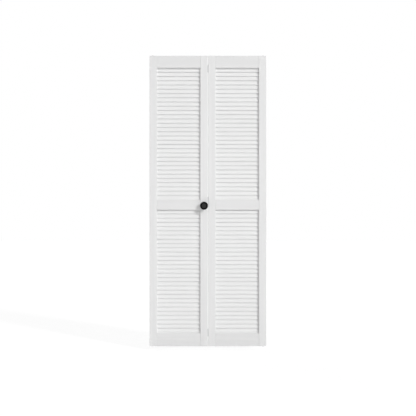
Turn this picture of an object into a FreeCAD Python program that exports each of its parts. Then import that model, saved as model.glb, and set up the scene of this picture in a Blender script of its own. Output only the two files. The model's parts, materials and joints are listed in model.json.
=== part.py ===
"""Bifold closet door: two louvred panels hinged together, with knob, pivots and track guide.

Frame: the origin is on the bottom pivot's axis, level with the door's underside. +X runs to the
right, +Y into the closet (the front faces -Y) and +Z up. The right-hand panel hangs on the pivots;
the left-hand one leads, carries the knob and is steered by the guide in the track. Lengths are in
millimetres and angles in degrees.
"""

import FreeCAD, Part
import os
import re

import Sketcher

SIZES = {
    # the slab
    "door_height": 1997.0,
    "panel_width": 400.0,
    "fold_gap": 3.0,
    "stile_width": 51.0,
    "stile_thickness": 35.0,
    "edge_round": 2.5,
    "top_rail_height": 83.0,
    "mid_rail_height": 69.0,
    "mid_rail_base": 938.0,
    "bottom_rail_height": 91.0,
    "tenon_length": 18.0,
    "tenon_thickness": 11.0,
    "tenon_shoulder": 8.0,
    # louvres
    "slat_pitch": 29.25,
    "slat_angle": 70.0,
    "slat_nose": 14.0,
    "slat_recess": 12.5,
    "slat_housing": 9.0,
    # hinges
    "top_hinge_drop": 84.0,
    "mid_hinge_rise": 64.0,
    "low_hinge_height": 91.0,
    "hinge_height": 50.0,
    "hinge_leaf_depth": 24.0,
    "hinge_leaf_thickness": 1.3,
    "knuckle_radius": 3.2,
    "knuckle_gap": 0.4,
    "knuckle_standoff": 0.4,
    "hinge_pin_radius": 1.6,
    "hinge_pin_clearance": 0.06,
    # pivots and guide
    "pivot_inset": 22.0,
    "socket_radius": 7.0,
    "socket_length": 60.0,
    "socket_floor": 3.0,
    "pivot_pin_radius": 4.0,
    "pivot_pin_length": 38.0,
    "pivot_pin_clearance": 0.08,
    "pivot_tip_radius": 4.75,
    "pivot_tip_length": 5.0,
    "bottom_screw_length": 52.0,
    "spindle_radius": 2.5,
    "spindle_clearance": 0.08,
    "spindle_head": 0.8,
    "spindle_head_radius": 4.2,
    "roller_radius": 6.5,
    "roller_height": 4.4,
    "roller_lift": 0.3,
    "spring_wire": 1.0,
    "spring_slack": 0.3,
    # the knob
    "knob_rise": 28.0,
    "knob_radius": 27.5,
    "knob_depth": 40.0,
    "knob_edge": 14.0,
    "knob_bevel": 8.0,
    "knob_face_radius": 19.0,
    "knob_rim": 3.0,
    "knob_dish": 1.0,
    "neck_radius": 9.0,
    "neck_length": 14.0,
    "rose_radius": 19.0,
    "rose_thickness": 4.0,
    "knob_screw_radius": 2.0,
    "knob_screw_reach": 20.0,
    "knob_screw_clearance": 0.2,
    "knob_screw_head_radius": 4.2,
    "knob_screw_head": 2.4,
}

# Places worked out from the sizes, as expressions. A panel's own x is 0 on its centre line.
HALF_THICKNESS = "(stile_thickness / 2)"
OPENING_WIDTH = "(panel_width - 2 * stile_width)"
PIVOT_PANEL_X = "(pivot_inset - panel_width / 2)"
LEAD_PANEL_X = "(pivot_inset - panel_width * 3 / 2 - fold_gap)"
FOLD_X = "(pivot_inset - panel_width - fold_gap / 2)"
STILE_OFFSET = "((panel_width - stile_width) / 2)"
PIVOT_OFFSET = "(stile_width / 2 - pivot_inset)"
HINGE_AXIS_Y = "(stile_thickness / 2 + knuckle_standoff + knuckle_radius)"
HINGE_HEIGHTS = {
    "top": "(door_height - top_hinge_drop)",
    "mid": "(mid_rail_base + mid_hinge_rise)",
    "low": "low_hinge_height",
}

# The two louvred openings of a panel: lower edge, height and how many slats fill it.
BANK_BASE = {"upper": "(mid_rail_base + mid_rail_height)", "lower": "bottom_rail_height"}
BANK_HEIGHT = {
    "upper": "(door_height - top_rail_height - mid_rail_base - mid_rail_height)",
    "lower": "(mid_rail_base - bottom_rail_height)",
}
BANK_COUNT = {bank: f"round({high} / slat_pitch)" for bank, high in BANK_HEIGHT.items()}
BANK_PITCH = {bank: f"({BANK_HEIGHT[bank]} / {BANK_COUNT[bank]})" for bank in BANK_HEIGHT}

# A slat's front and back edges (y), and how far its blade rises between them.
SLAT_FRONT = f"(slat_recess - {HALF_THICKNESS})"
SLAT_BACK = f"({HALF_THICKNESS} - slat_recess)"
SLAT_RISE = "((stile_thickness - 2 * slat_recess) * tan(slat_angle))"

document = FreeCAD.newDocument("bifold_closet_door")


# ---------------------------------------------------------------- the sheet and the drawing helpers

def fill_sheet():
    sheet = document.addObject("Spreadsheet::Sheet", "Sizes")
    for row, (name, value) in enumerate(SIZES.items(), start=1):
        sheet.set(f"A{row}", name)
        sheet.set(f"B{row}", str(value))
        sheet.setAlias(f"B{row}", name)
    document.recompute()


def bound(formula):
    """The formula with every size name pointing at its cell in the sheet."""
    return re.sub(r"[a-z][a-z_]+", lambda word: "Sizes." * (word[0] in SIZES) + word[0], formula)


def bind(thing, path, formula):
    thing.setExpression(path, bound(formula))


def new_body(name, x="0", y="0", z="0", rotation=None):
    body = document.addObject("PartDesign::Body", name)
    body.Label = name
    if rotation:
        body.Placement = FreeCAD.Placement(FreeCAD.Vector(), rotation)
    for axis, place in zip("xyz", (x, y, z)):
        bind(body, f"Placement.Base.{axis}", place)
    return body


def new_sketch(body, name, plane, lift="0"):
    """A sketch on an origin plane of its body, moved by lift along the plane's normal."""
    sketch = body.newObject("Sketcher::SketchObject", name)
    support = [feature for feature in body.Origin.OriginFeatures if feature.Role == plane]
    sketch.AttachmentSupport = [(support[0], "")]
    sketch.MapMode = "FlatFace"
    bind(sketch, ".AttachmentOffset.Base.z", lift)
    return sketch


def add_outline(sketch, corners):
    """A closed outline of straight lines, each corner's two coordinates bound to formulas."""
    first = sketch.GeometryCount
    count = len(corners)
    step = FreeCAD.Rotation(FreeCAD.Vector(0, 0, 1), 360.0 / count)
    start = FreeCAD.Vector(10, 0, 0)
    for _ in corners:
        end = step.multVec(start)
        sketch.addGeometry(Part.LineSegment(start, end), False)
        start = end
    for index, corner in enumerate(corners):
        line = first + index
        sketch.addConstraint(Sketcher.Constraint("Coincident", line, 2, first + (index + 1) % count, 1))
        for kind, place in zip(("DistanceX", "DistanceY"), corner):
            dimension = sketch.addConstraint(Sketcher.Constraint(kind, -1, 1, line, 1, 1.0))
            bind(sketch, f"Constraints[{dimension}]", place)


def add_circle(sketch, radius, x="0", y="0"):
    circle = sketch.addGeometry(Part.Circle(FreeCAD.Vector(1, 1, 0), FreeCAD.Vector(0, 0, 1), 1.0), False)
    dimension = sketch.addConstraint(Sketcher.Constraint("Radius", circle, 1.0))
    bind(sketch, f"Constraints[{dimension}]", radius)
    for kind, place in (("DistanceX", x), ("DistanceY", y)):
        dimension = sketch.addConstraint(Sketcher.Constraint(kind, -1, 1, circle, 3, 1.0))
        bind(sketch, f"Constraints[{dimension}]", place)


def box_corners(low_x, low_y, high_x, high_y):
    return [(low_x, low_y), (high_x, low_y), (high_x, high_y), (low_x, high_y)]


def pad(body, sketch, length):
    feature = body.newObject("PartDesign::Pad", sketch.Name + "_pad")
    feature.Profile = (sketch, [""])
    bind(feature, "Length", length)
    return feature


def pocket(body, sketch, depth, along_normal=False):
    """Cuts away from the sketch, against its normal unless along_normal is set."""
    feature = body.newObject("PartDesign::Pocket", sketch.Name + "_pocket")
    feature.Profile = (sketch, [""])
    feature.Reversed = along_normal
    bind(feature, "Length", depth)
    return feature


def turn(body, sketch):
    """A full revolution about the sketch's upright axis."""
    feature = body.newObject("PartDesign::Revolution", sketch.Name + "_turned")
    feature.Profile = (sketch, [""])
    feature.ReferenceAxis = (sketch, ["V_Axis"])
    feature.Angle = 360.0
    return feature


def row_of(body, features, sketch, length, count, axis="V_Axis"):
    """A row of the features along an axis of the sketch, length apart from the first to the last."""
    feature = body.newObject("PartDesign::LinearPattern", sketch.Name + "_row")
    feature.Originals = features
    feature.Direction = (sketch, [axis])
    bind(feature, "Length", length)
    bind(feature, "Occurrences", count)
    body.Tip = feature
    return feature


def round_edges(body, base, radius, wanted):
    """Rounds the straight edges of the base feature that the test wanted(edge) picks."""
    document.recompute()
    names = [f"Edge{index}" for index, edge in enumerate(base.Shape.Edges, start=1) if wanted(edge)]
    feature = body.newObject("PartDesign::Fillet", base.Name + "_round")
    feature.Base = (base, names)
    bind(feature, "Radius", radius)
    return feature


def on_a_face(edge, axis):
    """True for a straight edge along the axis that lies in the front or the back face."""
    if edge.Curve.TypeId != "Part::GeomLine":
        return False
    start, end = (vertex.Point for vertex in edge.Vertexes)
    on_face = abs(abs(start.y) - SIZES["stile_thickness"] / 2) < 1e-6
    return on_face and start.distanceToLine(end, axis) < 1e-6


# ---------------------------------------------------------------- louvres

def slat_corners(base="0"):
    """The section of a slat, (y, z), its nose standing on z = base.

    The blade slopes down to the front, and its nose and back edge are cut upright.
    """
    return [
        (SLAT_FRONT, base),
        (SLAT_FRONT, f"{base} + slat_nose"),
        (SLAT_BACK, f"{base} + slat_nose + {SLAT_RISE}"),
        (SLAT_BACK, f"{base} + {SLAT_RISE}"),
    ]


def make_slats(panel, panel_x, bank):
    body = new_body(f"{panel}_{bank}_slats", panel_x, "0", BANK_BASE[bank])
    reach = f"({OPENING_WIDTH} / 2 + slat_housing)"
    section = new_sketch(body, f"{panel}_{bank}_slat_section", "YZ_Plane", lift=f"-{reach}")
    add_outline(section, slat_corners())
    slat = pad(body, section, f"2 * {reach}")
    row_of(body, [slat], section, f"{BANK_HEIGHT[bank]} - {BANK_PITCH[bank]}", BANK_COUNT[bank])


def house_slats(body, name, inner_side, bank):
    """The row of sloping housings, routed in a stile's inner edge, that the slat ends sit in."""
    sketch = new_sketch(body, f"{name}_{bank}_housing", "YZ_Plane", lift=f"{inner_side} * stile_width / 2")
    add_outline(sketch, slat_corners(BANK_BASE[bank]))
    cut = pocket(body, sketch, "slat_housing", along_normal=inner_side < 0)
    row_of(body, [cut], sketch, f"{BANK_HEIGHT[bank]} - {BANK_PITCH[bank]}", BANK_COUNT[bank])


# ---------------------------------------------------------------- rails and stiles

def groove_height(bank_below):
    """How far the top slat of the bank below reaches up into a rail."""
    if bank_below is None:
        return "0"
    return f"({SLAT_RISE} + slat_nose - {BANK_PITCH[bank_below]})"


def rail_corners(height, bank_below):
    """A rail's section, (y, z). Its underside is grooved to seat the top slat of the bank below."""
    corners = [
        (f"(-{HALF_THICKNESS})", "0"), (f"(-{HALF_THICKNESS})", height),
        (HALF_THICKNESS, height), (HALF_THICKNESS, "0"),
    ]
    if bank_below:
        groove = groove_height(bank_below)
        corners += [(SLAT_BACK, "0"), (SLAT_BACK, groove), (f"{SLAT_BACK} - {groove} / tan(slat_angle)", "0")]
    return corners


def tenon_corners(base, height, bank_below):
    return box_corners(
        "-tenon_thickness / 2", f"{base} + {groove_height(bank_below)} + tenon_shoulder",
        "tenon_thickness / 2", f"{base} + {height} - tenon_shoulder",
    )


# Each rail's lower edge, its height and the bank of slats that ends under it.
RAILS = {
    "top": ("(door_height - top_rail_height)", "top_rail_height", "upper"),
    "mid": ("mid_rail_base", "mid_rail_height", "lower"),
    "bottom": ("0", "bottom_rail_height", None),
}


def make_rail(panel, panel_x, rail):
    base, height, bank_below = RAILS[rail]
    name = f"{panel}_{rail}_rail"
    body = new_body(name, panel_x, "0", base)
    section = new_sketch(body, f"{name}_section", "YZ_Plane", lift=f"-{OPENING_WIDTH} / 2")
    add_outline(section, rail_corners(height, bank_below))
    bar = pad(body, section, OPENING_WIDTH)
    along_x = FreeCAD.Vector(1, 0, 0)
    round_edges(body, bar, "edge_round", lambda edge: on_a_face(edge, along_x))
    reach = f"({OPENING_WIDTH} / 2 + tenon_length)"
    tenon = new_sketch(body, f"{name}_tenon", "YZ_Plane", lift=f"-{reach}")
    add_outline(tenon, tenon_corners("0", height, bank_below))
    pad(body, tenon, f"2 * {reach}")


def make_stile(name, panel_x, side, inner_side):
    """A stile on the given side of its panel, housed and mortised in the edge that faces the rails."""
    body = new_body(name, f"{panel_x} + {side} * {STILE_OFFSET}")
    section = new_sketch(body, f"{name}_section", "XY_Plane")
    add_outline(section, box_corners(
        "-stile_width / 2", "-stile_thickness / 2", "stile_width / 2", "stile_thickness / 2"))
    bar = pad(body, section, "door_height")
    along_z = FreeCAD.Vector(0, 0, 1)
    round_edges(body, bar, "edge_round", lambda edge: on_a_face(edge, along_z))
    for rail, (base, height, bank_below) in RAILS.items():
        mortise = new_sketch(
            body, f"{name}_{rail}_mortise", "YZ_Plane", lift=f"{inner_side} * stile_width / 2")
        add_outline(mortise, tenon_corners(base, height, bank_below))
        pocket(body, mortise, "tenon_length", along_normal=inner_side < 0)
    for bank in BANK_BASE:
        house_slats(body, name, inner_side, bank)
    return body


def drill_socket(body, name, x, outward, end):
    """The bore for a pivot socket in a stile's end."""
    bore = new_sketch(body, f"{name}_bore", "XY_Plane", lift=end)
    add_circle(bore, "socket_radius", x)
    pocket(body, bore, "socket_length", along_normal=outward < 0)


# ---------------------------------------------------------------- hinges

KNUCKLES = 3


def make_leaf(panel, side, hinge):
    """A leaf lying on its stile's folding edge and rolled round the pin.

    Its own origin is on the pin's axis at half height. Of the three knuckles along the pin the
    lead leaf has the middle one, between the pivot leaf's two.
    """
    name = f"{panel}_{hinge}_leaf"
    body = new_body(name, FOLD_X, HINGE_AXIS_Y, HINGE_HEIGHTS[hinge])
    stile_back = "-(knuckle_standoff + knuckle_radius)"
    bare_face = f"{side} * (fold_gap / 2 - hinge_leaf_thickness)"
    stile_face = f"{side} * fold_gap / 2"
    plate = new_sketch(body, f"{name}_plate", "XY_Plane", lift="-hinge_height / 2")
    add_outline(plate, box_corners(bare_face, f"{stile_back} - hinge_leaf_depth", stile_face, stile_back))
    pad(body, plate, "hinge_height")

    knuckle = f"(hinge_height / {KNUCKLES} - knuckle_gap)"
    pivot_leaf = panel == "pivot"
    start = "-hinge_height / 2" if pivot_leaf else f"-{knuckle} / 2"
    neck = new_sketch(body, f"{name}_neck", "XY_Plane", lift=start)
    add_outline(neck, box_corners(bare_face, f"{stile_back} - hinge_leaf_thickness", stile_face, "0"))
    roll = new_sketch(body, f"{name}_roll", "XY_Plane", lift=start)
    add_circle(roll, "knuckle_radius")
    rolled = [pad(body, neck, knuckle), pad(body, roll, knuckle)]
    if pivot_leaf:
        row_of(body, rolled, roll, f"hinge_height - {knuckle}", "2", axis="N_Axis")

    bore = new_sketch(body, f"{name}_bore", "XY_Plane", lift="hinge_height / 2")
    add_circle(bore, "hinge_pin_radius + hinge_pin_clearance")
    pocket(body, bore, "hinge_height")


def make_hinge_pin(hinge):
    """A plain pin through all the knuckles, flush with their ends."""
    name = f"{hinge}_hinge_pin"
    body = new_body(name, FOLD_X, HINGE_AXIS_Y, HINGE_HEIGHTS[hinge])
    section = new_sketch(body, f"{name}_section", "XY_Plane", lift="-hinge_height / 2")
    add_circle(section, "hinge_pin_radius")
    pad(body, section, "hinge_height")


# ---------------------------------------------------------------- pivots and guide

def flipped(corners, outward):
    """Corners given with +z out of the door's end, as they lie at the top (+1) or bottom (-1) end."""
    return [(radius, f"{outward} * ({height})") for radius, height in corners]


def make_turned_piece(name, corners, x, z, outward):
    """A piece turned about an upright axis at x, from corners that start at the door's end, z."""
    body = new_body(name, x, "0", z)
    section = new_sketch(body, f"{name}_section", "XZ_Plane")
    add_outline(section, flipped(corners, outward))
    turn(body, section)


def socket_corners():
    bore = "(pivot_pin_radius + pivot_pin_clearance)"
    return [
        (bore, "0"),
        ("socket_radius", "0"),
        ("socket_radius", "-socket_length"),
        ("0", "-socket_length"),
        ("0", "socket_floor - socket_length"),
        (bore, "socket_floor - socket_length"),
    ]


def pivot_pin_corners(length):
    """A pin with the given length of shank in the socket and a thicker tip that rests on its rim."""
    return [
        ("0", f"-{length}"),
        ("pivot_pin_radius", f"-{length}"),
        ("pivot_pin_radius", "0"),
        ("pivot_tip_radius", "0"),
        ("pivot_tip_radius", "pivot_tip_length"),
        ("0", "pivot_tip_length"),
    ]


def guide_pin_corners():
    """A pin with a shoulder under the roller and a head over it."""
    roller_top = "(roller_lift + roller_height + roller_lift)"
    return [
        ("0", "-pivot_pin_length"),
        ("pivot_pin_radius", "-pivot_pin_length"),
        ("pivot_pin_radius", "roller_lift"),
        ("spindle_radius", "roller_lift"),
        ("spindle_radius", roller_top),
        ("spindle_head_radius", roller_top),
        ("spindle_head_radius", f"{roller_top} + spindle_head"),
        ("0", f"{roller_top} + spindle_head"),
    ]


def roller_corners():
    return box_corners(
        "spindle_radius + spindle_clearance", "roller_lift", "roller_radius", "roller_lift + roller_height")


def spring_corners():
    """The coils' envelope, between the socket's floor and the pin pressed down on it."""
    outer = "(pivot_pin_radius + pivot_pin_clearance - spring_slack)"
    return box_corners(
        f"{outer} - spring_wire", "socket_floor - socket_length", outer, "-pivot_pin_length")


def make_top_pivot():
    place = ("0", "door_height", 1)
    make_turned_piece("top_pivot_socket", socket_corners(), *place)
    make_turned_piece("top_pivot_pin", pivot_pin_corners("pivot_pin_length"), *place)
    make_turned_piece("top_pivot_spring", spring_corners(), *place)


def make_bottom_pivot():
    place = ("0", "0", -1)
    make_turned_piece("bottom_pivot_socket", socket_corners(), *place)
    make_turned_piece("bottom_pivot_screw", pivot_pin_corners("bottom_screw_length"), *place)


def make_guide():
    guide_x = f"{LEAD_PANEL_X} - {STILE_OFFSET} - {PIVOT_OFFSET}"
    place = (guide_x, "door_height", 1)
    make_turned_piece("guide_socket", socket_corners(), *place)
    make_turned_piece("guide_pin", guide_pin_corners(), *place)
    make_turned_piece("guide_roller", roller_corners(), *place)
    make_turned_piece("guide_spring", spring_corners(), *place)


# ---------------------------------------------------------------- the knob

KNOB_X = f"({LEAD_PANEL_X} + {STILE_OFFSET})"
KNOB_HEIGHT = "(mid_rail_base + knob_rise)"
OUTWARD = FreeCAD.Rotation(FreeCAD.Vector(1, 0, 0), 90)


def make_knob_piece(name, corners):
    """A turned piece on the knob's axis, +z being outward from the stile's front face."""
    body = new_body(name, KNOB_X, f"-{HALF_THICKNESS}", KNOB_HEIGHT, OUTWARD)
    section = new_sketch(body, f"{name}_section", "XZ_Plane")
    add_outline(section, corners)
    turn(body, section)


def make_knob():
    """A round knob in one piece: a rose, a neck, and a bevelled head with a rim round a sunk face."""
    neck_end = "(rose_thickness + neck_length)"
    dish_radius = "(knob_face_radius - knob_rim)"
    make_knob_piece("knob", [
        ("knob_screw_radius", "0"),
        ("rose_radius", "0"),
        ("rose_radius", "rose_thickness"),
        ("neck_radius", "rose_thickness"),
        ("neck_radius", neck_end),
        ("knob_radius", "knob_depth - knob_edge"),
        ("knob_radius", "knob_depth - knob_bevel"),
        ("knob_face_radius", "knob_depth"),
        (dish_radius, "knob_depth"),
        (dish_radius, "knob_depth - knob_dish"),
        ("0", "knob_depth - knob_dish"),
        ("0", "knob_screw_reach"),
        ("knob_screw_radius", "knob_screw_reach"),
    ])


def make_knob_screw():
    """A machine screw from the back of the stile into the knob."""
    make_knob_piece("knob_screw", [
        ("0", "-stile_thickness - knob_screw_head"),
        ("knob_screw_head_radius", "-stile_thickness - knob_screw_head"),
        ("knob_screw_head_radius", "-stile_thickness"),
        ("knob_screw_radius", "-stile_thickness"),
        ("knob_screw_radius", "knob_screw_reach"),
        ("0", "knob_screw_reach"),
    ])


def drill_knob(body, name):
    sketch = new_sketch(body, f"{name}_knob_hole", "XZ_Plane", lift=HALF_THICKNESS)
    add_circle(sketch, "knob_screw_radius + knob_screw_clearance", "0", KNOB_HEIGHT)
    pocket(body, sketch, "stile_thickness")


# ---------------------------------------------------------------- the whole door

def make_panel(panel, panel_x):
    for rail in RAILS:
        make_rail(panel, panel_x, rail)
    for bank in BANK_BASE:
        make_slats(panel, panel_x, bank)


def make_lead_panel():
    make_panel("lead", LEAD_PANEL_X)
    outer = make_stile("lead_outer_stile", LEAD_PANEL_X, -1, 1)
    drill_socket(outer, "guide", f"-{PIVOT_OFFSET}", 1, "door_height")
    inner = make_stile("lead_inner_stile", LEAD_PANEL_X, 1, -1)
    drill_knob(inner, "lead_inner_stile")


def make_pivot_panel():
    make_panel("pivot", PIVOT_PANEL_X)
    make_stile("pivot_inner_stile", PIVOT_PANEL_X, -1, 1)
    outer = make_stile("pivot_outer_stile", PIVOT_PANEL_X, 1, -1)
    drill_socket(outer, "top_pivot", PIVOT_OFFSET, 1, "door_height")
    drill_socket(outer, "bottom_pivot", PIVOT_OFFSET, -1, "0")


def make_hinges():
    for hinge in HINGE_HEIGHTS:
        make_leaf("lead", -1, hinge)
        make_leaf("pivot", 1, hinge)
        make_hinge_pin(hinge)


def check_and_write():
    document.recompute()
    failed = [thing.Name for thing in document.Objects if {"Invalid", "Error"} & set(thing.State)]
    bodies = [thing for thing in document.Objects if thing.TypeId == "PartDesign::Body"]
    broken = [body.Label for body in bodies if body.Shape.isNull() or not body.Shape.isValid()]
    if failed or broken:
        raise RuntimeError(f"failed features: {failed}; broken pieces: {broken}")
    os.makedirs("parts", exist_ok=True)
    for body in bodies:
        body.Shape.exportStep(f"parts/{body.Label}.step")
        print(f"{body.Label}: {len(body.Shape.Solids)} solid(s), {body.Shape.Volume / 1000:.2f} cm3")


fill_sheet()
make_lead_panel()
make_pivot_panel()
make_hinges()
make_top_pivot()
make_bottom_pivot()
make_guide()
make_knob()
make_knob_screw()
check_and_write()
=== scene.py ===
"""The looks of a louvred bifold closet door: painted wood, hinges, pivots, track guide and knob.

Metres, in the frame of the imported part: +X right, +Y into the closet, +Z up, the front facing -Y.
Every piece is built to the box of the CAD node that it replaces. Only the leaves' screws have no node.
"""
import json
import math
from collections import namedtuple

import bmesh
import bpy
from mathutils import Matrix, Vector


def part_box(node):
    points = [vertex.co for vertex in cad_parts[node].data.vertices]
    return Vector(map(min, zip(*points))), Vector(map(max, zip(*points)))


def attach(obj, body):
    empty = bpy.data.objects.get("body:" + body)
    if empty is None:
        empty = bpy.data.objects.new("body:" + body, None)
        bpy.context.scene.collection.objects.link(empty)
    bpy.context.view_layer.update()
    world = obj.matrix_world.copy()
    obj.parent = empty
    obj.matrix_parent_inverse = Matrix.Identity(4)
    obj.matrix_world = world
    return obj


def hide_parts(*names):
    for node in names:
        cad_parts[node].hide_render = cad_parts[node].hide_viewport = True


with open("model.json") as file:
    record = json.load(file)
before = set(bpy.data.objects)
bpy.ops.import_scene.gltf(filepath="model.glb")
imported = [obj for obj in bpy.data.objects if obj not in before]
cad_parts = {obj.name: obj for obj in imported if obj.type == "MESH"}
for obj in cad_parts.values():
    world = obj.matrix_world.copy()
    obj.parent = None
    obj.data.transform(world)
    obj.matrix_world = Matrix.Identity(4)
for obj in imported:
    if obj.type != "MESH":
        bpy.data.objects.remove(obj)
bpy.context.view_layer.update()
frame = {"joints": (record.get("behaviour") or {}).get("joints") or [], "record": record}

MM = 0.001
UP = (0, 0, 1)
OUT_OF_FRONT = (0, -1, 0)
OUT_OF_BACK = (0, 1, 0)
PANELS = ("lead", "pivot")
RECORD = frame["record"]
BODY_OF = {node: body for body, nodes in RECORD["behaviour"]["bodies"].items() for node in nodes}
SLOT_OF = {part["node"]: part["material_slot"] for part in RECORD["subparts"]}


def centre_of(node):
    low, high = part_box(node)
    return (low + high) / 2


def radius_of(node):
    low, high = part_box(node)
    return (high.x - low.x) / 2


# ---------------------------------------------------------------- meshes

ARC_STEPS = 5
FINE_ARC_STEPS = 6
TURN_STEPS = 64
ON_AXIS = 0.0001 * MM
EASE_STEPS = 2
WELD_REACH = 0.002 * MM
SHARP_ANGLE = math.radians(32)

# A thread: points round it, levels in a pitch, and how blunt its tapered end is.
THREAD_STEPS = 32
THREAD_LEVELS = 6
THREAD_BLUNTNESS = 0.08


def rounded(corners, radii, steps=ARC_STEPS):
    """The outline through the corners, each rounded off by an arc of its own radius."""
    points = []
    for index, (corner, radius) in enumerate(zip(corners, radii)):
        here = Vector(corner)
        if not radius:
            points.append(here)
            continue
        back = (Vector(corners[index - 1]) - here).normalized()
        onward = (Vector(corners[(index + 1) % len(corners)]) - here).normalized()
        half = back.angle(onward) / 2
        centre = here + (back + onward).normalized() * radius / math.sin(half)
        start = (here + back * radius / math.tan(half) - centre).normalized()
        end = (here + onward * radius / math.tan(half) - centre).normalized()
        points += [centre + radius * start.slerp(end, step / steps) for step in range(steps + 1)]
    return points


def prism(bm, outline, axis, low, high):
    """Adds a bar along an axis; the outline is in the plane of the other two axes, in their order."""
    ends = []
    for level in (low, high):
        ring = []
        for first, second in outline:
            place = {"x": (level, first, second), "z": (first, second, level)}
            ring.append(bm.verts.new(place[axis]))
        ends.append(ring)
    caps = [bm.faces.new(ring) for ring in ends]
    for index in range(len(outline)):
        after = (index + 1) % len(outline)
        bm.faces.new([ends[0][index], ends[0][after], ends[1][after], ends[1][index]])
    return caps


def ease(bm, caps, amount):
    """Rounds the edges of the end faces."""
    edges = list({edge for cap in caps for edge in cap.edges})
    bmesh.ops.bevel(bm, geom=edges, offset=amount, segments=EASE_STEPS, profile=0.5, affect="EDGES")


def turn(bm, outline):
    """Adds a body turned about the z axis; the outline is a closed loop of (radius, height) points."""
    rings = []
    for radius, height in outline:
        count = TURN_STEPS if radius > ON_AXIS else 1
        angles = [2 * math.pi * step / count for step in range(count)]
        rings.append([bm.verts.new((radius * math.cos(a), radius * math.sin(a), height)) for a in angles])
    for ring, following in zip(rings, rings[1:] + rings[:1]):
        if len(ring) == len(following) == 1:
            continue
        for index in range(TURN_STEPS):
            after = (index + 1) % TURN_STEPS
            corners = [
                ring[index % len(ring)], ring[after % len(ring)],
                following[after % len(following)], following[index % len(following)],
            ]
            bm.faces.new(list(dict.fromkeys(corners)))


def cross(bm, reach, width, low, high):
    """Adds a plus-shaped bar along the z axis."""
    arm = [(reach, -width / 2), (reach, width / 2), (width / 2, width / 2)]
    outline = []
    for _ in range(4):
        outline += arm
        arm = [(-y, x) for x, y in arm]
    prism(bm, outline, "z", low, high)


def thread(bm, radius, depth, pitch, low, high, tip=0.0):
    """Adds a threaded rod; its groove climbs one pitch in a turn, and tip tapers its lower end."""
    levels = max(2, round((high - low) / pitch * THREAD_LEVELS))
    rings = []
    for level in range(levels + 1):
        z = low + (high - low) * level / levels
        taper = min(1.0, (z - low) / tip + THREAD_BLUNTNESS) if tip else 1.0
        ring = []
        for step in range(THREAD_STEPS):
            phase = ((z - low) / pitch - step / THREAD_STEPS) % 1.0
            cut = depth * abs(2 * phase - 1) * (0 < level < levels)
            reach = (radius - cut) * taper
            angle = 2 * math.pi * step / THREAD_STEPS
            ring.append(bm.verts.new((reach * math.cos(angle), reach * math.sin(angle), z)))
        rings.append(ring)
    skin(bm, rings)


def skin(bm, rings):
    """Joins the rings of points, one after another, and closes both ends."""
    for ring, following in zip(rings, rings[1:]):
        for step in range(len(ring)):
            after = (step + 1) % len(ring)
            bm.faces.new([ring[step], ring[after], following[after], following[step]])
    bm.faces.new(rings[0])
    bm.faces.new(rings[-1])


def standing(position, outward):
    """The matrix that takes a body built about +z to the position, facing outward."""
    rotation = Vector(UP).rotation_difference(Vector(outward)).to_matrix().to_4x4()
    return Matrix.Translation(position) @ rotation


def rod(radius, low, high, position, outward=UP):
    """A round tool through the position, from low to high along outward."""
    bm = bmesh.new()
    turn(bm, [(0, low), (radius, low), (radius, high), (0, high)])
    bm.transform(standing(position, outward))
    return bm


def as_object(name, bm):
    bmesh.ops.recalc_face_normals(bm, faces=bm.faces)
    mesh = bpy.data.meshes.new(name)
    bm.to_mesh(mesh)
    bm.free()
    piece = bpy.data.objects.new(name, mesh)
    bpy.context.scene.collection.objects.link(piece)
    return piece


def weld(mesh):
    """Joins the near-double points that a cut leaves, and drops what has no area then."""
    bm = bmesh.new()
    bm.from_mesh(mesh)
    bmesh.ops.remove_doubles(bm, verts=bm.verts, dist=WELD_REACH)
    bmesh.ops.dissolve_degenerate(bm, edges=bm.edges, dist=WELD_REACH)
    bm.to_mesh(mesh)
    bm.free()


def combine(piece, other_bm, operation):
    """Gives the piece the mesh of its boolean with the other one."""
    other = as_object("other", other_bm)
    modifier = piece.modifiers.new("boolean", "BOOLEAN")
    modifier.operation = operation
    modifier.solver = "EXACT"
    modifier.object = other
    bpy.context.view_layer.update()
    result = piece.evaluated_get(bpy.context.evaluated_depsgraph_get())
    mesh = bpy.data.meshes.new_from_object(result)
    weld(mesh)
    piece.modifiers.clear()
    piece.data = mesh
    bpy.data.objects.remove(other)


def carve(piece, tool_bm):
    combine(piece, tool_bm, "DIFFERENCE")


def add(piece, extra_bm):
    combine(piece, extra_bm, "UNION")


def smooth(piece):
    """Shades round stretches smoothly and keeps flat faces flat and sharp edges sharp."""
    piece.data.shade_smooth()
    piece.data.set_sharp_from_angle(angle=SHARP_ANGLE)
    normals = piece.modifiers.new("normals", "WEIGHTED_NORMAL")
    normals.keep_sharp = True


def finish_piece(piece, material, body, slot, *nodes):
    smooth(piece)
    piece.data.materials.clear()
    piece.data.materials.append(material)
    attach(piece, body)
    if nodes:
        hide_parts(*nodes)


def stand_for(piece, node, material):
    """The piece takes the CAD node's place and body, with the given material."""
    finish_piece(piece, material, BODY_OF[node], SLOT_OF[node], node)


# ---------------------------------------------------------------- materials

# Paint: one white coat in three copies. The slats' copy is painted lighter, a painted light for what their
# upturned faces catch from above; the rails' copy is a touch darker, a painted shade.
STILE_SHADE = 0.75
RAIL_SHADE_WITH_PAINTED_SHADE = 0.735
SLAT_SHADE_WITH_PAINTED_LIGHT = 0.8
PAINT_CLOUD = 0.015

ALONG_GRAIN = {"x": (0.04, 1, 1), "z": (1, 1, 0.04)}
DRAWN_STEEL = (1, 1, 0.05)
EVERY_WAY = (1, 1, 1)


def new_material(name):
    material = bpy.data.materials.new(name)
    material.use_nodes = True
    nodes = material.node_tree.nodes
    return material, nodes, material.node_tree.links, nodes["Principled BSDF"]


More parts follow.
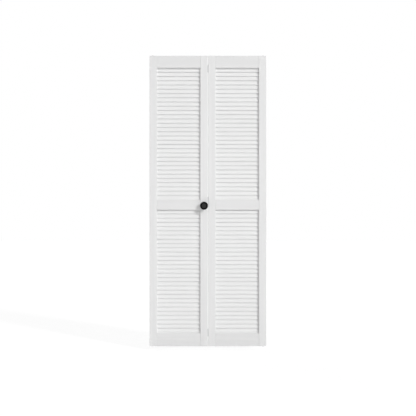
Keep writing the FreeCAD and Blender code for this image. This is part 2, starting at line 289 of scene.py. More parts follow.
def object_noise(nodes, links, scale, stretch=EVERY_WAY, detail=3.0, roughness=0.55):
    """Noise fixed to the piece, in metres; a stretch under 1 draws it out along that axis."""
    place = nodes.new("ShaderNodeTexCoord")
    mapping = nodes.new("ShaderNodeMapping")
    mapping.inputs["Scale"].default_value = stretch
    links.new(place.outputs["Object"], mapping.inputs["Vector"])
    noise = nodes.new("ShaderNodeTexNoise")
    noise.inputs["Scale"].default_value = scale
    noise.inputs["Detail"].default_value = detail
    noise.inputs["Roughness"].default_value = roughness
    links.new(mapping.outputs["Vector"], noise.inputs["Vector"])
    return noise.outputs["Fac"]


def spread(nodes, links, value, low, high, inside=(0.3, 0.7)):
    """The value, mapped from the inside span to low..high; as given, that is the usual span of noise."""
    node = nodes.new("ShaderNodeMapRange")
    node.inputs["From Min"].default_value, node.inputs["From Max"].default_value = inside
    node.inputs["To Min"].default_value, node.inputs["To Max"].default_value = low, high
    links.new(value, node.inputs["Value"])
    return node.outputs["Result"]


def colour_by(nodes, links, noise, dark, light):
    """A colour that drifts between the two as the noise does."""
    node = nodes.new("ShaderNodeMix")
    node.data_type = "RGBA"
    node.inputs["A"].default_value = (*dark, 1)
    node.inputs["B"].default_value = (*light, 1)
    links.new(spread(nodes, links, noise, low=0, high=1), node.inputs["Factor"])
    return node.outputs["Result"]


def bump(nodes, links, height, distance, under=None):
    node = nodes.new("ShaderNodeBump")
    node.inputs["Strength"].default_value = 1.0
    node.inputs["Distance"].default_value = distance
    links.new(height, node.inputs["Height"])
    if under:
        links.new(under, node.inputs["Normal"])
    return node.outputs["Normal"]


def make_paint(name, along, shade):
    """White satin paint over softwood: the grain shows faintly, drawn out along one axis."""
    material, nodes, links, shader = new_material(name)
    stretch = ALONG_GRAIN[along]
    grain = object_noise(nodes, links, scale=260.0, stretch=stretch, detail=4.0)
    broad = object_noise(nodes, links, scale=38.0, stretch=stretch, detail=2.0)
    brushed = object_noise(nodes, links, scale=900.0, stretch=stretch, detail=2.0)
    stipple = object_noise(nodes, links, scale=1500.0)
    dark, light = [shade - PAINT_CLOUD] * 3, [shade + PAINT_CLOUD] * 3
    links.new(colour_by(nodes, links, broad, dark, light), shader.inputs["Base Color"])
    links.new(spread(nodes, links, brushed, low=0.36, high=0.5), shader.inputs["Roughness"])
    shader.inputs["Specular IOR Level"].default_value = 0.35
    normal = bump(nodes, links, grain, distance=0.12 * MM)
    normal = bump(nodes, links, brushed, distance=0.04 * MM, under=normal)
    normal = bump(nodes, links, stipple, distance=0.03 * MM, under=normal)
    links.new(normal, shader.inputs["Normal"])
    return material


def make_metal(name, dark, light, roughness, scratch):
    """Zinc-plated steel with a cloudy tone and fine lines."""
    material, nodes, links, shader = new_material(name)
    shader.inputs["Metallic"].default_value = 1.0
    cloud = object_noise(nodes, links, scale=120.0)
    lines = object_noise(nodes, links, scale=2200.0, stretch=scratch, detail=2.0)
    links.new(colour_by(nodes, links, cloud, dark, light), shader.inputs["Base Color"])
    rough = spread(nodes, links, lines, low=roughness - 0.07, high=roughness + 0.1)
    links.new(rough, shader.inputs["Roughness"])
    links.new(bump(nodes, links, lines, distance=0.01 * MM), shader.inputs["Normal"])
    return material


def make_nylon():
    """Natural white nylon, faintly pitted by its mould."""
    material, nodes, links, shader = new_material("nylon")
    cloud = object_noise(nodes, links, scale=200.0)
    pits = object_noise(nodes, links, scale=2600.0)
    colour = colour_by(nodes, links, cloud, dark=(0.74, 0.74, 0.71), light=(0.8, 0.8, 0.78))
    links.new(colour, shader.inputs["Base Color"])
    links.new(spread(nodes, links, pits, low=0.42, high=0.56), shader.inputs["Roughness"])
    links.new(bump(nodes, links, pits, distance=0.02 * MM), shader.inputs["Normal"])
    return material


def make_black(name, dark, light, roughness, specular):
    """Black powder coat: a fine pebble under a satin sheen."""
    material, nodes, links, shader = new_material(name)
    cloud = object_noise(nodes, links, scale=160.0)
    pebble = object_noise(nodes, links, scale=1700.0)
    links.new(colour_by(nodes, links, cloud, [dark] * 3, [light] * 3), shader.inputs["Base Color"])
    rough = spread(nodes, links, pebble, low=roughness - 0.05, high=roughness + 0.07)
    links.new(rough, shader.inputs["Roughness"])
    shader.inputs["Specular IOR Level"].default_value = specular
    links.new(bump(nodes, links, pebble, distance=0.05 * MM), shader.inputs["Normal"])
    return material


# The rails' and slats' copies of the one white paint are shaded and lit: painted shade on the rails,
# painted light on the slats.
stile_paint = make_paint("stile_paint", "z", STILE_SHADE)
rail_paint_shaded = make_paint("rail_paint_shaded", "x", RAIL_SHADE_WITH_PAINTED_SHADE)
slat_paint_lit = make_paint("slat_paint_lit", "x", SLAT_SHADE_WITH_PAINTED_LIGHT)
hinge_steel = make_metal("hinge_steel", (0.56, 0.57, 0.58), (0.68, 0.69, 0.7), 0.38, DRAWN_STEEL)
pin_steel = make_metal("pin_steel", (0.6, 0.61, 0.63), (0.72, 0.73, 0.75), 0.3, EVERY_WAY)
nylon = make_nylon()
# Two copies of one black powder coat: the body's copy is darkened and dulled as painted shade, and the
# face's copy is lightened and made shinier as a painted sheen.
knob_black = make_black("knob_black", dark=0.0015, light=0.003, roughness=0.42, specular=0.03)
knob_face_painted_sheen = make_black("knob_face_painted_sheen", dark=0.012, light=0.018, roughness=0.38, specular=0.15)


# ---------------------------------------------------------------- louvres, rails and stiles

RAILS = ("top", "mid", "bottom")

# Each bank of slats: how many slats, the rail above it and the rail below it.
BANKS = {"upper": (31, "top", "mid"), "lower": (29, "mid", "bottom")}
BANK_UNDER = {"top": "upper", "mid": "lower", "bottom": None}

SLAT_ANGLE = math.radians(70)
NOSE_ROUND = 1.2 * MM
LIP_ROUND = 0.6 * MM
EDGE_ROUND = 2.5 * MM
END_EASE = 0.7 * MM
TENON_LENGTH = 18.0 * MM
TENON_THICKNESS = 11.0 * MM
TENON_SHOULDER = 8.0 * MM
KNOB_HOLE_RADIUS = 2.2 * MM

# The knob hole's tool starts this far in front of the door's middle and ends as far behind it.
DRILL_REACH = 0.5

# Front and back in y, the first slat's base in z, the pitch, a nose's height and a blade's rise.
Section = namedtuple("Section", "front back base pitch nose rise")


def slat_section(panel, bank):
    """Where a bank's slats lie."""
    count, above, below = BANKS[bank]
    low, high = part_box(f"{panel}_{bank}_slats")
    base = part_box(f"{panel}_{below}_rail")[1].z
    pitch = (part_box(f"{panel}_{above}_rail")[0].z - base) / count
    rise = (high.y - low.y) * math.tan(SLAT_ANGLE)
    nose = high.z - low.z - (count - 1) * pitch - rise
    return Section(low.y, high.y, base, pitch, nose, rise)


def slat_bars(panel, bank):
    """A bank's slats: blades that slope down to the front, with upright, slightly rounded noses.

    The lowest slat keeps a sharp lower edge, so that it closes on the rail it stands on.
    """
    low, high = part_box(f"{panel}_{bank}_slats")
    front, back, base, pitch, nose, rise = slat_section(panel, bank)
    bm = bmesh.new()
    for index in range(BANKS[bank][0]):
        z = base + index * pitch
        corners = [(front, z), (front, z + nose), (back, z + nose + rise), (back, z + rise)]
        lip = LIP_ROUND if index else 0
        prism(bm, rounded(corners, (lip, NOSE_ROUND, LIP_ROUND, NOSE_ROUND)), "x", low.x, high.x)
    return bm


def groove_height(panel, rail):
    """How far the top slat below reaches up into a rail."""
    if BANK_UNDER[rail] is None:
        return 0.0
    slats = slat_section(panel, BANK_UNDER[rail])
    return slats.rise + slats.nose - slats.pitch


def tenon_bar(panel, rail):
    """The bar that a rail's two tenons are the ends of."""
    low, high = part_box(f"{panel}_{rail}_rail")
    half = TENON_THICKNESS / 2
    bottom, top = low.z + groove_height(panel, rail) + TENON_SHOULDER, high.z - TENON_SHOULDER
    bm = bmesh.new()
    prism(bm, [(-half, bottom), (half, bottom), (half, top), (-half, top)], "x", low.x, high.x)
    return bm


def make_rail(panel, rail):
    """A rail between its shoulders; its underside is grooved for the top slat of the bank below."""
    node = f"{panel}_{rail}_rail"
    low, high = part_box(node)
    corners = [(low.y, low.z), (low.y, high.z), (high.y, high.z), (high.y, low.z)]
    radii = [EDGE_ROUND] * 4
    if BANK_UNDER[rail]:
        back = slat_section(panel, BANK_UNDER[rail]).back
        height = groove_height(panel, rail)
        corners += [(back, low.z), (back, low.z + height), (back - height / math.tan(SLAT_ANGLE), low.z)]
        radii += [0, 0, 0]
    bm = bmesh.new()
    caps = prism(bm, rounded(corners, radii), "x", low.x + TENON_LENGTH, high.x - TENON_LENGTH)
    ease(bm, caps, END_EASE)
    piece = as_object(f"{node}_painted", bm)
    add(piece, tenon_bar(panel, rail))
    stand_for(piece, node, rail_paint_shaded)


def make_slats(panel, bank):
    node = f"{panel}_{bank}_slats"
    stand_for(as_object(f"{node}_painted", slat_bars(panel, bank)), node, slat_paint_lit)


def bore_socket(stile, socket, outward):
    """Bores the stile for a socket, and on through the end's eased edge."""
    bottom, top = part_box(socket)
    centre = centre_of(socket)
    low = min(bottom.z, bottom.z + outward * END_EASE)
    high = max(top.z, top.z + outward * END_EASE)
    carve(stile, rod(radius_of(socket), low, high, (centre.x, centre.y, 0)))


def make_stile(panel, edge, top_socket=None, bottom_socket=None, knob_screw=None):
    """A stile with rounded edges, housed for the slat ends and mortised for the rails."""
    node = f"{panel}_{edge}_stile"
    low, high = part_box(node)
    corners = [(low.x, low.y), (high.x, low.y), (high.x, high.y), (low.x, high.y)]
    bm = bmesh.new()
    caps = prism(bm, rounded(corners, [EDGE_ROUND] * 4, FINE_ARC_STEPS), "z", low.z, high.z)
    ease(bm, caps, END_EASE)
    piece = as_object(f"{node}_painted", bm)
    if top_socket:
        bore_socket(piece, top_socket, 1)
    if bottom_socket:
        bore_socket(piece, bottom_socket, -1)
    if knob_screw:
        centre = centre_of(knob_screw)
        start = (centre.x, -DRILL_REACH, centre.z)
        carve(piece, rod(KNOB_HOLE_RADIUS, 0, 2 * DRILL_REACH, start, OUT_OF_BACK))
    for rail in RAILS:
        carve(piece, tenon_bar(panel, rail))
    for bank in BANKS:
        carve(piece, slat_bars(panel, bank))
    stand_for(piece, node, stile_paint)


for panel_name in PANELS:
    for rail_name in RAILS:
        make_rail(panel_name, rail_name)
    for bank_name in BANKS:
        make_slats(panel_name, bank_name)
make_stile("lead", "outer", top_socket="guide_socket")
make_stile("lead", "inner", knob_screw="knob_screw")
make_stile("pivot", "inner")
make_stile("pivot", "outer", top_socket="top_pivot_socket", bottom_socket="bottom_pivot_socket")


# ---------------------------------------------------------------- screws

RECESS_DEPTH = 1.6 * MM
RECESS_CLEAR = 1.0 * MM


def cut_recess(screw, top, reach, width):
    """Cuts a cross recess into a screw's head, down from its top."""
    bar = bmesh.new()
    cross(bar, reach, width, top - RECESS_DEPTH, top + RECESS_CLEAR)
    carve(screw, bar)


# ---------------------------------------------------------------- hinges

HINGES = ("top", "mid", "low")
FOLD_AXIS = next(Vector(joint["pos_m"]) for joint in frame["joints"] if joint["name"] == "fold")
TOWARD_GAP = {"lead": 1, "pivot": -1}

LEAF_THICKNESS = 1.3 * MM
LEAF_CORNER = 3.0 * MM
KNUCKLE_GAP = 0.4 * MM
KNUCKLE_ROUND = 0.25 * MM
KNUCKLE_ROOT = 2.2 * MM
HINGE_PIN_PLAY = 0.06 * MM
HINGE_PIN_ROUND = 0.5 * MM

# The leaves' wood screws. The thread's upper end is a little inside the plain neck.
SCREW_SPREAD = 15.0 * MM
SCREW_STAGGER = 4.5 * MM
SCREW_HEAD_RADIUS = 3.4 * MM
SCREW_SHANK_RADIUS = 1.7 * MM
SCREW_SINK = SCREW_HEAD_RADIUS - SCREW_SHANK_RADIUS
SINK_CLEAR = 1.0 * MM
SCREW_SHY = 0.06 * MM
SCREW_NECK = 3.0 * MM
SCREW_THREAD_TOP = -2.9 * MM
SCREW_LENGTH = 19.0 * MM
SCREW_TIP = 5.0 * MM
SCREW_THREAD_DEPTH = 0.35 * MM
SCREW_PITCH = 1.4 * MM
SCREW_RECESS_REACH = 0.52 * SCREW_HEAD_RADIUS
SCREW_RECESS_WIDTH = 0.9 * MM


def leaf_faces(panel):
    """A leaf's two faces in x: the one on its stile and the bare one, toward the gap."""
    low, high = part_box(f"{panel}_inner_stile")
    stile_face = high.x if panel == "lead" else low.x
    return stile_face, stile_face + TOWARD_GAP[panel] * LEAF_THICKNESS


def leaf_outline(panel, hinge):
    """The comb-shaped outline of a leaf's plate, (y, z), and the spans of its knuckles.

    The plate's tabs end inside the walls of the knuckles.
    """
    low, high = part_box(f"{panel}_{hinge}_leaf")
    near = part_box(f"{panel}_inner_stile")[1].y
    root = FOLD_AXIS.y - KNUCKLE_ROOT
    middle = (low.z + high.z) / 2
    length = (high.z - low.z) / 3 - KNUCKLE_GAP
    if panel == "pivot":
        spans = [(low.z, low.z + length), (high.z - length, high.z)]
        corners = [
            (low.y, low.z), (low.y, high.z), (root, high.z), (root, spans[1][0]),
            (near, spans[1][0]), (near, spans[0][1]), (root, spans[0][1]), (root, low.z),
        ]
    else:
        spans = [(middle - length / 2, middle + length / 2)]
        corners = [
            (low.y, low.z), (low.y, high.z), (near, high.z), (near, spans[0][1]),
            (root, spans[0][1]), (root, spans[0][0]), (near, spans[0][0]), (near, low.z),
        ]
    return rounded(corners, [LEAF_CORNER] * 2 + [0] * 6), spans


def screw_places(panel, hinge):
    """The three screws of a leaf, staggered, on the leaf's bare face."""
    low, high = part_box(f"{panel}_{hinge}_leaf")
    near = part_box(f"{panel}_inner_stile")[1].y
    _, bare_face = leaf_faces(panel)
    centre = Vector((bare_face, (low.y + near) / 2, (low.z + high.z) / 2))
    for row in (-1, 0, 1):
        shift = SCREW_STAGGER if row else -SCREW_STAGGER
        yield centre + Vector((0, shift, row * SCREW_SPREAD))


def make_leaf(panel, hinge):
    """A leaf rolled round the pin, countersunk for three screws."""
    node = f"{panel}_{hinge}_leaf"
    outline, spans = leaf_outline(panel, hinge)
    plate = bmesh.new()
    prism(plate, outline, "x", *sorted(leaf_faces(panel)))
    piece = as_object(f"{node}_steel", plate)
    inner, outer = radius_of(f"{hinge}_hinge_pin") + HINGE_PIN_PLAY, radius_of(node)
    for bottom, top in spans:
        corners = [(inner, bottom), (outer, bottom), (outer, top), (inner, top)]
        roll = bmesh.new()
        turn(roll, rounded(corners, [0, KNUCKLE_ROUND, KNUCKLE_ROUND, 0]))
        roll.transform(standing((FOLD_AXIS.x, FOLD_AXIS.y, 0), UP))
        add(piece, roll)
    for place in screw_places(panel, hinge):
        sink = bmesh.new()
        turn(sink, [
            (0, SINK_CLEAR), (SCREW_HEAD_RADIUS + SINK_CLEAR, SINK_CLEAR), (SCREW_HEAD_RADIUS, 0),
            (SCREW_SHANK_RADIUS, -SCREW_SINK), (SCREW_SHANK_RADIUS, -SCREW_NECK), (0, -SCREW_NECK),
        ])
        sink.transform(standing(place, (TOWARD_GAP[panel], 0, 0)))
        carve(piece, sink)
    stand_for(piece, node, hinge_steel)


def leaf_screw():
    """The mesh of a countersunk cross-head wood screw about +z, its top just shy of z = 0."""
    rim, neck = SCREW_HEAD_RADIUS - SCREW_SHY, SCREW_SHANK_RADIUS - SCREW_SHY
    head = bmesh.new()
    turn(head, [
        (0, -SCREW_SHY), (rim, -SCREW_SHY), (rim, -2 * SCREW_SHY),
        (neck, -SCREW_SINK - SCREW_SHY), (neck, -SCREW_NECK), (0, -SCREW_NECK),
    ])
    screw = as_object("leaf_screw", head)
    cut_recess(screw, 0, SCREW_RECESS_REACH, SCREW_RECESS_WIDTH)
    shank = bmesh.new()
    thread(
        shank, SCREW_SHANK_RADIUS, SCREW_THREAD_DEPTH, SCREW_PITCH,
        low=-SCREW_LENGTH, high=SCREW_THREAD_TOP, tip=SCREW_TIP,
    )
    add(screw, shank)
    mesh = screw.data
    bpy.data.objects.remove(screw)
    return mesh


def make_leaf_screws(panel, hinge, screw_mesh):
    """The three screws of a leaf, as one piece."""
    node = f"{panel}_{hinge}_leaf"
    bm = bmesh.new()
    for place in screw_places(panel, hinge):
        screw = screw_mesh.copy()
        screw.transform(standing(place, (TOWARD_GAP[panel], 0, 0)))
        bm.from_mesh(screw)
        bpy.data.meshes.remove(screw)
    piece = as_object(f"{node}_screws", bm)
    finish_piece(piece, pin_steel, BODY_OF[node], SLOT_OF["knob_screw"])


def make_hinge_pin(hinge):
    node = f"{hinge}_hinge_pin"
    low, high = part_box(node)
    radius = radius_of(node)
    corners = [(0, low.z), (radius, low.z), (radius, high.z), (0, high.z)]
    bm = bmesh.new()
    turn(bm, rounded(corners, [0, HINGE_PIN_ROUND, HINGE_PIN_ROUND, 0]))
    bm.transform(standing((FOLD_AXIS.x, FOLD_AXIS.y, 0), UP))
    stand_for(as_object(f"{node}_steel", bm), node, pin_steel)


one_screw = leaf_screw()
for hinge_name in HINGES:
    for panel_name in PANELS:
        make_leaf(panel_name, hinge_name)
        make_leaf_screws(panel_name, hinge_name, one_screw)
    make_hinge_pin(hinge_name)


# ---------------------------------------------------------------- pivots and guide

SOCKET_BORE = 4.08 * MM
SOCKET_FLOOR = 3.0 * MM
PIN_RADIUS = 4.0 * MM
SPINDLE_RADIUS = 2.5 * MM
SPINDLE_PLAY = 0.08 * MM

# The bottom screw's plain collar, and the thread, whose upper end is a little inside it.
SCREW_COLLAR = 6.0 * MM
PIVOT_THREAD_TOP = -5.7 * MM
PIVOT_THREAD_DEPTH = 0.5 * MM
PIVOT_PITCH = 1.5 * MM

# The rounding of each corner of an outline, in the outline's order.
SOCKET_ROUNDS = (0.5 * MM, 0.3 * MM, 1.0 * MM, 0, 0, 0.4 * MM)
PIN_ROUNDS = (0, 0.3 * MM, 0.2 * MM, 0.2 * MM, 1.2 * MM, 0)
GUIDE_PIN_ROUNDS = (0, 0.6 * MM, 0.2 * MM, 0, 0, 0.1 * MM, 0.6 * MM, 0)
ROLLER_ROUNDS = (0.3 * MM, 1.0 * MM, 1.0 * MM, 0.3 * MM)

SPRING_WIRE = 1.0 * MM
SPRING_TURNS = 7
SPRING_STEPS = 24
WIRE_STEPS = 8


def door_end(outward):
    """The height of the door's top (+1) or underside (-1)."""
    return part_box("pivot_outer_stile")[1 if outward > 0 else 0].z


def height_span(node, outward):
    """How far a node reaches below and above the door's end, outward counted positive."""
    low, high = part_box(node)
    return sorted((z - door_end(outward)) * outward for z in (low.z, high.z))


def upright(node, outward):
    """The matrix to a node's own upright axis; heights run outward from the door's end."""
    centre = centre_of(node)
    return standing((centre.x, centre.y, door_end(outward)), (0, 0, outward))


def turned(name, node, outline, outward):
    """A turned piece on its node's own upright axis."""
    bm = bmesh.new()
    turn(bm, outline)
    bm.transform(upright(node, outward))
    return as_object(name, bm)


def make_socket(node, outward):
    radius = radius_of(node)
    depth, _ = height_span(node, outward)
    floor = depth + SOCKET_FLOOR
    corners = [(SOCKET_BORE, 0), (radius, 0), (radius, depth), (0, depth), (0, floor), (SOCKET_BORE, floor)]
    outline = rounded(corners, SOCKET_ROUNDS)
    stand_for(turned(f"{node}_moulded", node, outline, outward), node, nylon)


def pivot_pin(node, outward, plain_end):
    """A steel pin: a plain shank down to plain_end and a thicker, eased tip."""
    radius = radius_of(node)
    _, tip = height_span(node, outward)
    corners = [
        (0, plain_end), (PIN_RADIUS, plain_end), (PIN_RADIUS, 0), (radius, 0), (radius, tip), (0, tip),
    ]
    return turned(f"{node}_steel", node, rounded(corners, PIN_ROUNDS), outward)


def make_top_pin(node="top_pivot_pin"):
    depth, _ = height_span(node, 1)
    stand_for(pivot_pin(node, 1, depth), node, pin_steel)


def make_bottom_screw(node="bottom_pivot_screw"):
    """The bottom pin is threaded up to a plain collar."""
    depth, _ = height_span(node, -1)
    piece = pivot_pin(node, -1, -SCREW_COLLAR)
    shank = bmesh.new()
    thread(shank, PIN_RADIUS, PIVOT_THREAD_DEPTH, PIVOT_PITCH, low=depth, high=PIVOT_THREAD_TOP)
    shank.transform(upright(node, -1))
    add(piece, shank)
    stand_for(piece, node, pin_steel)


def make_guide_pin(node="guide_pin"):
    """A pin with a spindle for the roller and a head over it."""
    depth, top = height_span(node, 1)
    wheel_low, wheel_high = height_span("guide_roller", 1)
    shoulder, head = wheel_low - SPINDLE_PLAY, wheel_high + wheel_low
    head_radius = radius_of(node)
    corners = [
        (0, depth), (PIN_RADIUS, depth), (PIN_RADIUS, shoulder), (SPINDLE_RADIUS, shoulder),
        (SPINDLE_RADIUS, head), (head_radius, head), (head_radius, top), (0, top),
    ]
    outline = rounded(corners, GUIDE_PIN_ROUNDS)
    stand_for(turned(f"{node}_steel", node, outline, 1), node, pin_steel)


def make_roller(node="guide_roller"):
    inner, outer = SPINDLE_RADIUS + SPINDLE_PLAY, radius_of(node)
    bottom, top = height_span(node, 1)
    corners = [(inner, bottom), (outer, bottom), (outer, top), (inner, top)]
    outline = rounded(corners, ROLLER_ROUNDS)
    stand_for(turned(f"{node}_moulded", node, outline, 1), node, nylon)


def make_spring(node):
    """A wound spring of round wire, in the space of the CAD's sleeve."""
    low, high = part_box(node)
    centre = centre_of(node)
    wire = SPRING_WIRE / 2
    radius = radius_of(node) - wire
    steps = SPRING_TURNS * SPRING_STEPS
    bm = bmesh.new()
    rings = []
    for step in range(steps + 1):
        angle = 2 * math.pi * SPRING_TURNS * step / steps
        z = low.z + wire + (high.z - low.z - 2 * wire) * step / steps
        outward = Vector((math.cos(angle), math.sin(angle), 0))
        core = Vector((centre.x, centre.y, z)) + outward * radius
        around = [2 * math.pi * point / WIRE_STEPS for point in range(WIRE_STEPS)]
        offsets = [outward * math.cos(a) + Vector((0, 0, math.sin(a))) for a in around]
        rings.append([bm.verts.new(core + offset * wire) for offset in offsets])
    skin(bm, rings)
    stand_for(as_object(f"{node}_steel", bm), node, pin_steel)


make_socket("top_pivot_socket", 1)
make_socket("bottom_pivot_socket", -1)
make_socket("guide_socket", 1)
make_top_pin()
make_bottom_screw()
make_guide_pin()
make_roller()
make_spring("top_pivot_spring")
make_spring("guide_spring")


# ---------------------------------------------------------------- the knob

ROSE_RADIUS = 19.0 * MM
ROSE_HEIGHT = 4.0 * MM
NECK_RADIUS = 9.0 * MM
NECK_LENGTH = 14.0 * MM
KNOB_EDGE = 14.0 * MM
KNOB_BEVEL = 8.0 * MM
RIM_RADIUS = 19.0 * MM
FACE_RADIUS = 16.0 * MM
FACE_DEPTH = 1.0 * MM
DOME_HEIGHT = 0.8 * MM
DOME_STEPS = 8
KNOB_BORE = 2.0 * MM
KNOB_BORE_DEPTH = 20.0 * MM
KNOB_ROUNDS = (0, 0.4 * MM, 1.5 * MM, 3.0 * MM, 4.0 * MM, 2.2 * MM, 2.2 * MM, 1.2 * MM, 0.6 * MM, 0)

# The face takes a lighter, shinier copy of the black, a painted sheen for the brighter reflection on it; it
# reaches to the middle of the rim, and a little below the face.
FACE_SHEEN_RADIUS = 17.5 * MM
FACE_SHEEN_DEPTH = 1.1 * MM

# The screw from behind. The thread's upper end is a little inside the plain neck.
KNOB_SCREW_NECK = 4.0 * MM
KNOB_THREAD_TOP = -3.8 * MM
KNOB_THREAD_DEPTH = 0.25 * MM
KNOB_SCREW_PITCH = 0.7 * MM
KNOB_SCREW_ROUNDS = (0, 0, 0, 0.2 * MM, 1.6 * MM, 0)
KNOB_RECESS_SHARE = 0.55
KNOB_RECESS_WIDTH = 1.1 * MM


def dome_points(depth):
    """The low dome of the sunk face, (radius, height), from just inside its edge to the axis."""
    points = []
    for step in range(1, DOME_STEPS + 1):
        share = 1 - step / DOME_STEPS
        points.append((FACE_RADIUS * share, depth - FACE_DEPTH + DOME_HEIGHT * (1 - share ** 2)))
    return points


def make_knob(node="knob"):
    """A round black knob: a rose, a neck, a flared head with a rounded rim and a sunk face."""
    low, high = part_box(node)
    centre, radius, depth = centre_of(node), radius_of(node), high.y - low.y
    corners = [
        (KNOB_BORE, 0), (ROSE_RADIUS, 0), (ROSE_RADIUS, ROSE_HEIGHT), (NECK_RADIUS, ROSE_HEIGHT),
        (NECK_RADIUS, ROSE_HEIGHT + NECK_LENGTH), (radius, depth - KNOB_EDGE), (radius, depth - KNOB_BEVEL),
        (RIM_RADIUS, depth), (FACE_RADIUS, depth), (FACE_RADIUS, depth - FACE_DEPTH),
    ]
    inside = dome_points(depth) + [(0, KNOB_BORE_DEPTH), (KNOB_BORE, KNOB_BORE_DEPTH)]
    bm = bmesh.new()
    turn(bm, rounded(corners + inside, KNOB_ROUNDS + (0,) * len(inside), FINE_ARC_STEPS))
    bm.transform(standing((centre.x, high.y, centre.z), OUT_OF_FRONT))
    piece = as_object(f"{node}_turned", bm)
    stand_for(piece, node, knob_black)
    # The sunk face takes the lighter, shinier copy of the black, a painted sheen; the rest keeps the
    # darkened copy, a painted shade.
    piece.data.materials.append(knob_face_painted_sheen)
    for face in piece.data.polygons:
        out = math.hypot(face.center.x - centre.x, face.center.z - centre.z)
        in_front = face.center.y < low.y + FACE_SHEEN_DEPTH
        face.material_index = 1 if in_front and out < FACE_SHEEN_RADIUS else 0


def make_knob_screw(node="knob_screw"):
    """A pan-head machine screw with a cross recess, driven from the back of the stile."""
    low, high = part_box(node)
    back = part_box("lead_inner_stile")[1].y
    centre, head_radius, head = centre_of(node), radius_of(node), high.y - back
    corners = [
        (0, -KNOB_SCREW_NECK), (KNOB_BORE, -KNOB_SCREW_NECK), (KNOB_BORE, 0),
        (head_radius, 0), (head_radius, head), (0, head),
    ]
    bm = bmesh.new()
    turn(bm, rounded(corners, KNOB_SCREW_ROUNDS))
    piece = as_object(f"{node}_steel", bm)
    cut_recess(piece, head, KNOB_RECESS_SHARE * head_radius, KNOB_RECESS_WIDTH)
    shank = bmesh.new()
    thread(shank, KNOB_BORE, KNOB_THREAD_DEPTH, KNOB_SCREW_PITCH, low=low.y - back, high=KNOB_THREAD_TOP)
    add(piece, shank)
    piece.data.transform(standing((centre.x, back, centre.z), OUT_OF_BACK))
    stand_for(piece, node, pin_steel)


make_knob()
make_knob_screw()


# ---------------------------------------------------------------- floor, light and camera

FLOOR_Z = -0.03
FLOOR_HALF = 20.0

# The floor's colour for the light that it passes on, and its colour and glow as the camera sees it.
FLOOR_SHADE = 0.85
FLOOR_SEEN = 0.3
FLOOR_GLOW = 0.765

# The sky's strength level with the horizon and overhead.
AMBIENT = 0.16
ZENITH = 0.6

KEY_STRENGTH = 9300.0
REAR_STRENGTH = 4500.0
FAR_LAMP_SIZE = 5.0
FAR_LAMP_DISTANCE = 40.0
KEY_FROM = Vector((0.95, -1.0, 0.7))
REAR_FROM = Vector((-0.7, 1.0, 1.4))
FILL_STRENGTH = 55.0
FILL_SIZE = 1.5
FILL_DISTANCE = 8.0
FILL_FROM = Vector((0, -1, 0))

# The camera: how wide a field it sees at the door's front, from how far off, and what it faces.
FIELD = 2.8596
DISTANCE = 6.0
SENSOR_WIDTH = 36.0
VIEW_X = -0.3792
VIEW_Z = 0.9505


def seen_ray(nodes, links):
    """1 for the rays that show a surface to the camera, directly, mirrored or through glass; else 0."""
    rays = nodes.new("ShaderNodeLightPath")
    seen = rays.outputs["Is Camera Ray"]
    for kind in ("Is Glossy Ray", "Is Transmission Ray"):
        either = nodes.new("ShaderNodeMath")
        either.operation = "MAXIMUM"
        links.new(seen, either.inputs[0])
        links.new(rays.outputs[kind], either.inputs[1])
        seen = either.outputs["Value"]
    return seen


def make_floor():
    """A pale floor; the camera sees it as white, with the door's shadow faint on it."""
    bm = bmesh.new()
    corners = [(-1, -1), (1, -1), (1, 1), (-1, 1)]
    bm.faces.new([bm.verts.new((x * FLOOR_HALF, y * FLOOR_HALF, FLOOR_Z)) for x, y in corners])
    floor = as_object("floor", bm)
    material, nodes, links, shader = new_material("floor_white")
    shader.inputs["Roughness"].default_value = 1.0
    shader.inputs["Specular IOR Level"].default_value = 0.0
    shader.inputs["Emission Color"].default_value = (1, 1, 1, 1)
    seen = seen_ray(nodes, links)
    shade = spread(nodes, links, seen, FLOOR_SHADE, FLOOR_SEEN, inside=(0, 1))
    glow = spread(nodes, links, seen, 0, FLOOR_GLOW, inside=(0, 1))
    links.new(shade, shader.inputs["Base Color"])
    links.new(glow, shader.inputs["Emission Strength"])
    floor.data.materials.append(material)


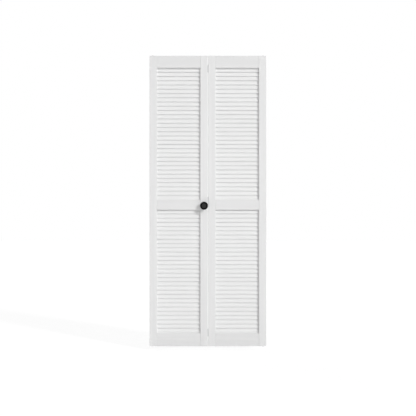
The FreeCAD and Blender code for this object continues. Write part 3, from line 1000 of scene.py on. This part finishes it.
def make_world():
    """Soft white light, a little stronger from above; the camera and mirrors see plain white."""
    world = bpy.data.worlds.new("studio")
    bpy.context.scene.world = world
    world.use_nodes = True
    nodes, links = world.node_tree.nodes, world.node_tree.links
    background = nodes["Background"]
    background.inputs["Color"].default_value = (1, 1, 1, 1)
    place = nodes.new("ShaderNodeTexCoord")
    split = nodes.new("ShaderNodeSeparateXYZ")
    links.new(place.outputs["Generated"], split.inputs["Vector"])
    light = spread(nodes, links, split.outputs["Z"], AMBIENT, ZENITH, inside=(0, 1))
    strength = nodes.new("ShaderNodeMapRange")
    links.new(light, strength.inputs["To Min"])
    strength.inputs["To Max"].default_value = 1.0
    links.new(seen_ray(nodes, links), strength.inputs["Value"])
    links.new(strength.outputs["Result"], background.inputs["Strength"])


def make_lamp(name, size, strength, toward, distance):
    """A square softbox that faces the middle of the door from a distance."""
    light = bpy.data.lights.new(name, "AREA")
    light.size = size
    light.energy = strength
    lamp = bpy.data.objects.new(name, light)
    lamp.rotation_mode = "QUATERNION"
    lamp.rotation_quaternion = toward.to_track_quat("Z", "Y")
    lamp.location = Vector((VIEW_X, 0, VIEW_Z)) + toward.normalized() * distance
    bpy.context.scene.collection.objects.link(lamp)


def make_camera():
    """A level camera in front of the gap between the panels."""
    lens = bpy.data.cameras.new("camera")
    lens.sensor_width = SENSOR_WIDTH
    lens.lens = SENSOR_WIDTH * DISTANCE / FIELD
    camera = bpy.data.objects.new("camera", lens)
    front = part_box("lead_inner_stile")[0].y
    camera.location = (VIEW_X, front - DISTANCE, VIEW_Z)
    camera.rotation_euler = (math.pi / 2, 0, 0)
    bpy.context.scene.collection.objects.link(camera)
    bpy.context.scene.camera = camera


make_floor()
make_world()
make_lamp("key", FAR_LAMP_SIZE, KEY_STRENGTH, KEY_FROM, FAR_LAMP_DISTANCE)
make_lamp("fill", FILL_SIZE, FILL_STRENGTH, FILL_FROM, FILL_DISTANCE)
make_lamp("rear", FAR_LAMP_SIZE, REAR_STRENGTH, REAR_FROM, FAR_LAMP_DISTANCE)
make_camera()
bpy.context.scene.view_settings.view_transform = "Standard"
